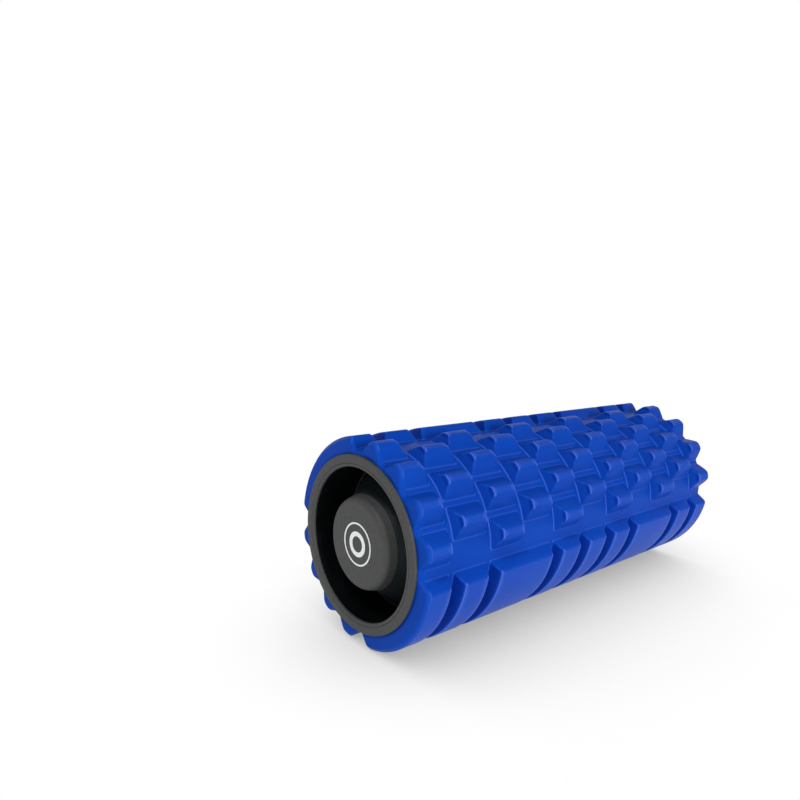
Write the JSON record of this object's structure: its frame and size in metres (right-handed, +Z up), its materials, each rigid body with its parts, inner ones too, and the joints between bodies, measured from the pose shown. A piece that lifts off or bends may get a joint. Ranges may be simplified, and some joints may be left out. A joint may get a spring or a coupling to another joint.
{
  "type": "foam roller",
  "caption": "Hollow-core massage roller with a blocky moulded foam tread and a recessed plastic cap in each end.",
  "frame": {"origin": "on the surface the roller lies on, below the middle of the roller, at the bottom centre of its bounding box", "axes": "+X along the roller's axis from the left end cap to the right one, +Z up; the roller lies at rest on a bar's top edge and on the nearest column of blocks"},
  "size_m": [0.33, 0.1346, 0.1344],
  "materials": {
    "blue_foam": "matte closed-cell EVA foam with a smooth moulded skin",
    "tube_plastic": "plain extruded plastic tube",
    "cap_plastic": "black moulded plastic, finely textured on the rim and the boss face, smoother in the recess",
    "white_print": "thin white print"
  },
  "bodies": {
    "root": {"foam_sleeve": "blue_foam", "core_tube": "tube_plastic", "end_cap_left": "cap_plastic", "end_cap_right": "cap_plastic", "badge_left": "white_print", "badge_right": "white_print"}
  },
  "joints": []
}
